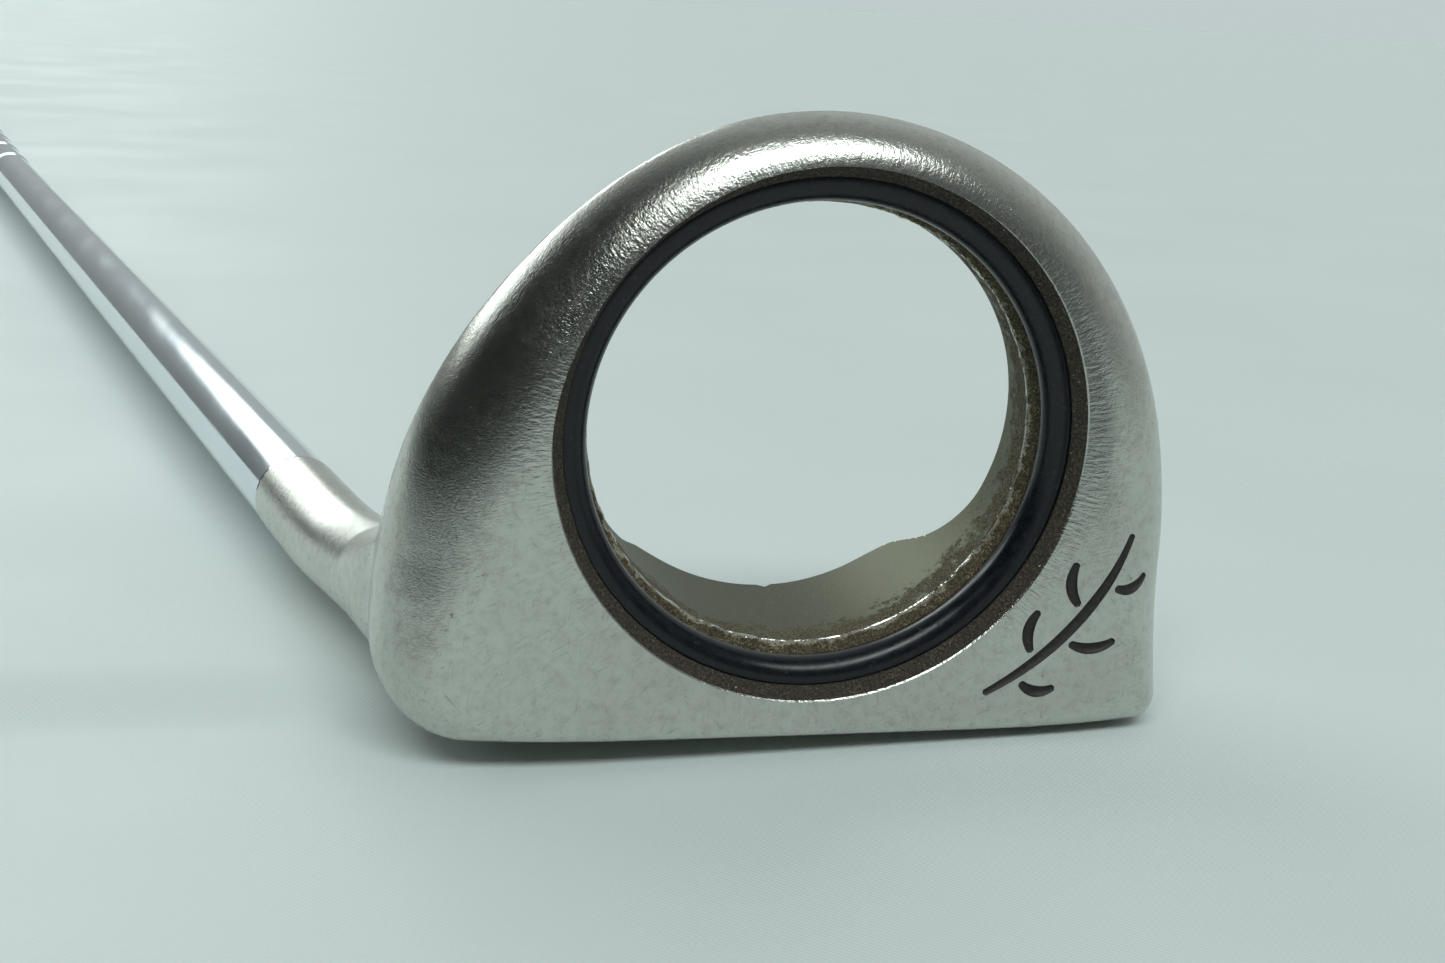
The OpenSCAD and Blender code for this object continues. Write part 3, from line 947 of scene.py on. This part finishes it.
def make_club():
    head = make_head()
    head.data.materials.clear()
    dress(head, "putter_head", "cast_steel", worn_steel(), bore_steel(), caked_grime(), engraved_dark())
    paint_head(head.data)
    shade_from_field(head.data)
    dress(make_ring(), "ball_grip_ring", "ring_rubber", ring_rubber())
    dress(make_shaft(), "shaft", "shaft_chrome", chrome())
    dress(make_grip(), "putter_grip", "grip_rubber", grip_rubber())
    for node, material in (("epoxy_bond", epoxy()), ("grip_tape", paper_tape())):
        for material_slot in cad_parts[node].material_slots:
            material_slot.material = material


# ---- Floor, light and camera ----

# The floor just clears the lowest face, and falls away in front of the sole; mm
FLOOR_GAP = 0.02
HOLLOW_AT_HEEL = 2.7
HOLLOW_AT_TOE = 0.6


def hollow(x, y):
    """Depth by which the cloth falls away in front of the sole, most of all under the heel, in mm."""
    deep = HOLLOW_AT_TOE + (HOLLOW_AT_HEEL - HOLLOW_AT_TOE) * (1 - ease(-35, 38, x))
    in_front = (1 - ease(1, 12, y)) * ease(-95, -25, y)
    return deep * in_front * ease(-150, -75, x) * (1 - ease(45, 110, x))


def make_floor():
    far = np.array((0.3, 1, 5, 20)) / MM
    across = np.concatenate((-far[::-1], np.arange(-152, 113, 4), far))
    along = np.concatenate((-far[::-1], np.arange(-97, -19, 3), np.arange(-18, 15, 1), far))
    verts = [(x * MM, y * MM, -(FLOOR_GAP + hollow(x, y)) * MM) for x in across for y in along]
    side = len(along)
    faces = [(i * side + j, (i + 1) * side + j, (i + 1) * side + j + 1, i * side + j + 1)
             for i in range(len(across) - 1) for j in range(side - 1)]
    floor = mesh_piece("floor", verts, faces)
    floor.data.materials.append(pale_cloth())


def make_flag():
    """A dark card beside the camera that shades one side of the steel, seen only in reflections."""
    verts = [(0.035, -0.075, 0), (0.30, -0.27, 0), (0.30, -0.27, 0.16), (0.035, -0.075, 0.05),
             (0.15, -0.16, 0.0), (0.15, -0.16, 0.10)]
    flag = mesh_piece("dark_flag", verts, [(0, 4, 5, 3), (4, 1, 2, 5)])
    paint = Paint("black_felt")
    fuzz = paint.noise(1.0)
    paint.set(Base_Color=paint.mix(fuzz, grey(0.10), grey(0.14)), Roughness=1.0)
    flag.data.materials.append(paint.material)
    flag.visible_camera = flag.visible_diffuse = flag.visible_shadow = False


def direction(azimuth, elevation):
    """Unit vector: azimuth 0 is +Y and 90 is +X, elevation is above the horizon, in degrees."""
    a, e = math.radians(azimuth), math.radians(elevation)
    return Vector((math.sin(a) * math.cos(e), math.cos(a) * math.cos(e), math.sin(e)))


# Broad soft light and shade of the room: azimuth, elevation, sharpness, strength
ROOM_LEVEL = 0.15
ROOM_LOBES = (
    (15, 30, 2.2, 0.40),
    (-90, 12, 3.0, -0.36),
    (-165, 20, 9.0, -0.10),
    (140, 10, 8.0, -0.06),
    (80, 10, 4.0, 0.22),
)
# Softboxes: azimuth, elevation, half width and half height as sines of angles, strength
SOFTBOXES = (
    (-174, 57, 0.44, 0.14, 7.6),
    (-30, 25, 0.42, 0.12, 4.0),
)
SOFT_EDGE, ROOM_DARKEST = 0.05, 0.010
ROOM_TINT = (0.92, 1.0, 0.985, 1)
BACKDROP = (0.52, 0.60, 0.595, 1)


def along(nodes, view, axis):
    """How far the view points along an axis, as a cosine."""
    return nodes.add("ShaderNodeVectorMath", {0: view, 1: axis}, operation="DOT_PRODUCT").outputs["Value"]


def room_light(nodes, view):
    """The room's broad light and dark sides, never fully black."""
    total = ROOM_LEVEL
    for azimuth, elevation, sharpness, strength in ROOM_LOBES:
        facing = nodes.math("MAXIMUM", along(nodes, view, direction(azimuth, elevation)), 0.0)
        lobe = nodes.math("MULTIPLY", nodes.math("POWER", facing, sharpness), strength)
        total = nodes.math("ADD", lobe, total)
    return nodes.math("MAXIMUM", total, ROOM_DARKEST)


def softbox_light(nodes, view, azimuth, elevation, half_w, half_h, strength):
    """One softbox with soft edges, on the side of the room that its axis points to."""
    axis = direction(azimuth, elevation)
    across = axis.cross(Vector((0, 0, 1))).normalized()
    sides = []
    for way, half in ((across, half_w), (across.cross(axis), half_h)):
        off = nodes.math("ABSOLUTE", along(nodes, view, way))
        sides.append(nodes.band(off, half + SOFT_EDGE, half - SOFT_EDGE))
    front = nodes.math("GREATER_THAN", along(nodes, view, axis), 0.0)
    box = nodes.math("MULTIPLY", *sides)
    return nodes.math("MULTIPLY", nodes.math("MULTIPLY", box, front), strength)


def make_room():
    """The studio around the scene, as a world: a pale room with a dark side, and softboxes."""
    world = bpy.data.worlds.new("studio")
    bpy.context.scene.world = world
    world.use_nodes = True
    world.node_tree.nodes.clear()
    nodes = Nodes(world.node_tree)
    view = nodes.add("ShaderNodeTexCoord").outputs["Generated"]
    total = room_light(nodes, view)
    for softbox in SOFTBOXES:
        total = nodes.math("ADD", softbox_light(nodes, view, *softbox), total)
    light = nodes.add("ShaderNodeBackground", {"Color": ROOM_TINT, "Strength": total})
    backdrop = nodes.add("ShaderNodeBackground", {"Color": BACKDROP})
    straight = nodes.add("ShaderNodeLightPath").outputs["Is Camera Ray"]
    seen = nodes.add("ShaderNodeMixShader", {0: straight, 1: light.outputs[0], 2: backdrop.outputs[0]})
    nodes.add("ShaderNodeOutputWorld", {"Surface": seen.outputs[0]})


def make_camera():
    data = bpy.data.cameras.new("photo_view")
    data.lens = CAMERA_LENS
    data.clip_start, data.clip_end = 0.01, 100
    camera = bpy.data.objects.new("photo_view", data)
    camera.location = CAMERA_AT
    camera.rotation_euler = Euler([math.radians(a) for a in CAMERA_TURN])
    bpy.context.scene.collection.objects.link(camera)
    bpy.context.scene.camera = camera
    bpy.context.scene.view_settings.view_transform = "Standard"


make_club()
make_floor()
make_flag()
make_room()
make_camera()
